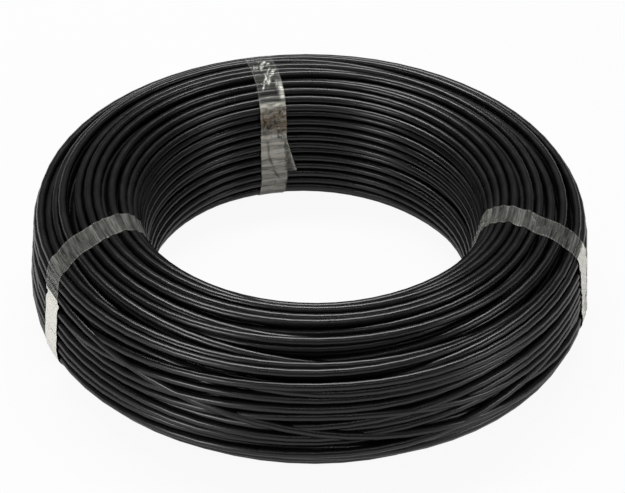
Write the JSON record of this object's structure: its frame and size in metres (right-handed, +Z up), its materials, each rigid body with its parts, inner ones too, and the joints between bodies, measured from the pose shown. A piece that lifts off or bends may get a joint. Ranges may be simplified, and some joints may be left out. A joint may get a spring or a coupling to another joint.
{
  "type": "coil of electrical wire",
  "caption": "Coil of black insulated electrical wire, wound as a thick ring with an open centre and held by bands of clear tape",
  "frame": {"origin": "centre of the underside, on the coil's axis, level with the undersides of the tape bands", "axes": "+Z up along the coil's axis; -Y is the side nearest the viewer; +X is to the viewer's right"},
  "size_m": [0.2398, 0.2398, 0.0604],
  "materials": {
    "wire_insulation": "satin",
    "clear_tape": "gloss"
  },
  "bodies": {
    "root": {"wire_coil": "wire_insulation", "tape_band_left": "clear_tape", "tape_band_right": "clear_tape", "tape_band_back": "clear_tape"}
  },
  "joints": []
}
